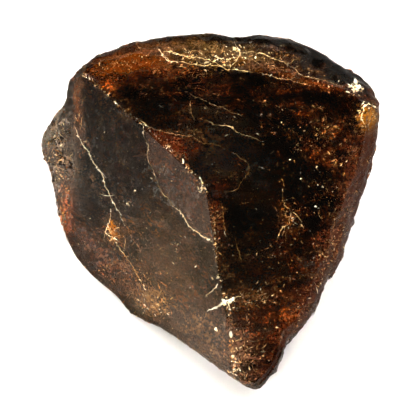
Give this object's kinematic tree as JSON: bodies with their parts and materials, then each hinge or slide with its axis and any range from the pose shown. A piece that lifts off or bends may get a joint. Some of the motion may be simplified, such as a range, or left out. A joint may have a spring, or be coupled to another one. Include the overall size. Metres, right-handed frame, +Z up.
{
  "type": "dravite tourmaline crystal",
  "caption": "Stubby see-through brown dravite crystal with a glassy three-faced termination, a worn and cracked rim, fluted sides and a flat broken foot that it rests on.",
  "frame": {"origin": "on the surface that the crystal rests on, under the middle of its bounding box", "axes": "+Z up from the foot; +X to the right and -Y towards a viewer who looks down on the termination from 65 degrees above the horizon"},
  "size_m": [0.0346, 0.0332, 0.0243],
  "materials": {
    "dravite": "clear deep brown crystal, orange-red where it is thin and near black where it is thick, with golden cracks and specks; glassy on the termination and dull on the broken left flank"
  },
  "bodies": {
    "root": {"dravite_crystal": "dravite"}
  },
  "joints": []
}
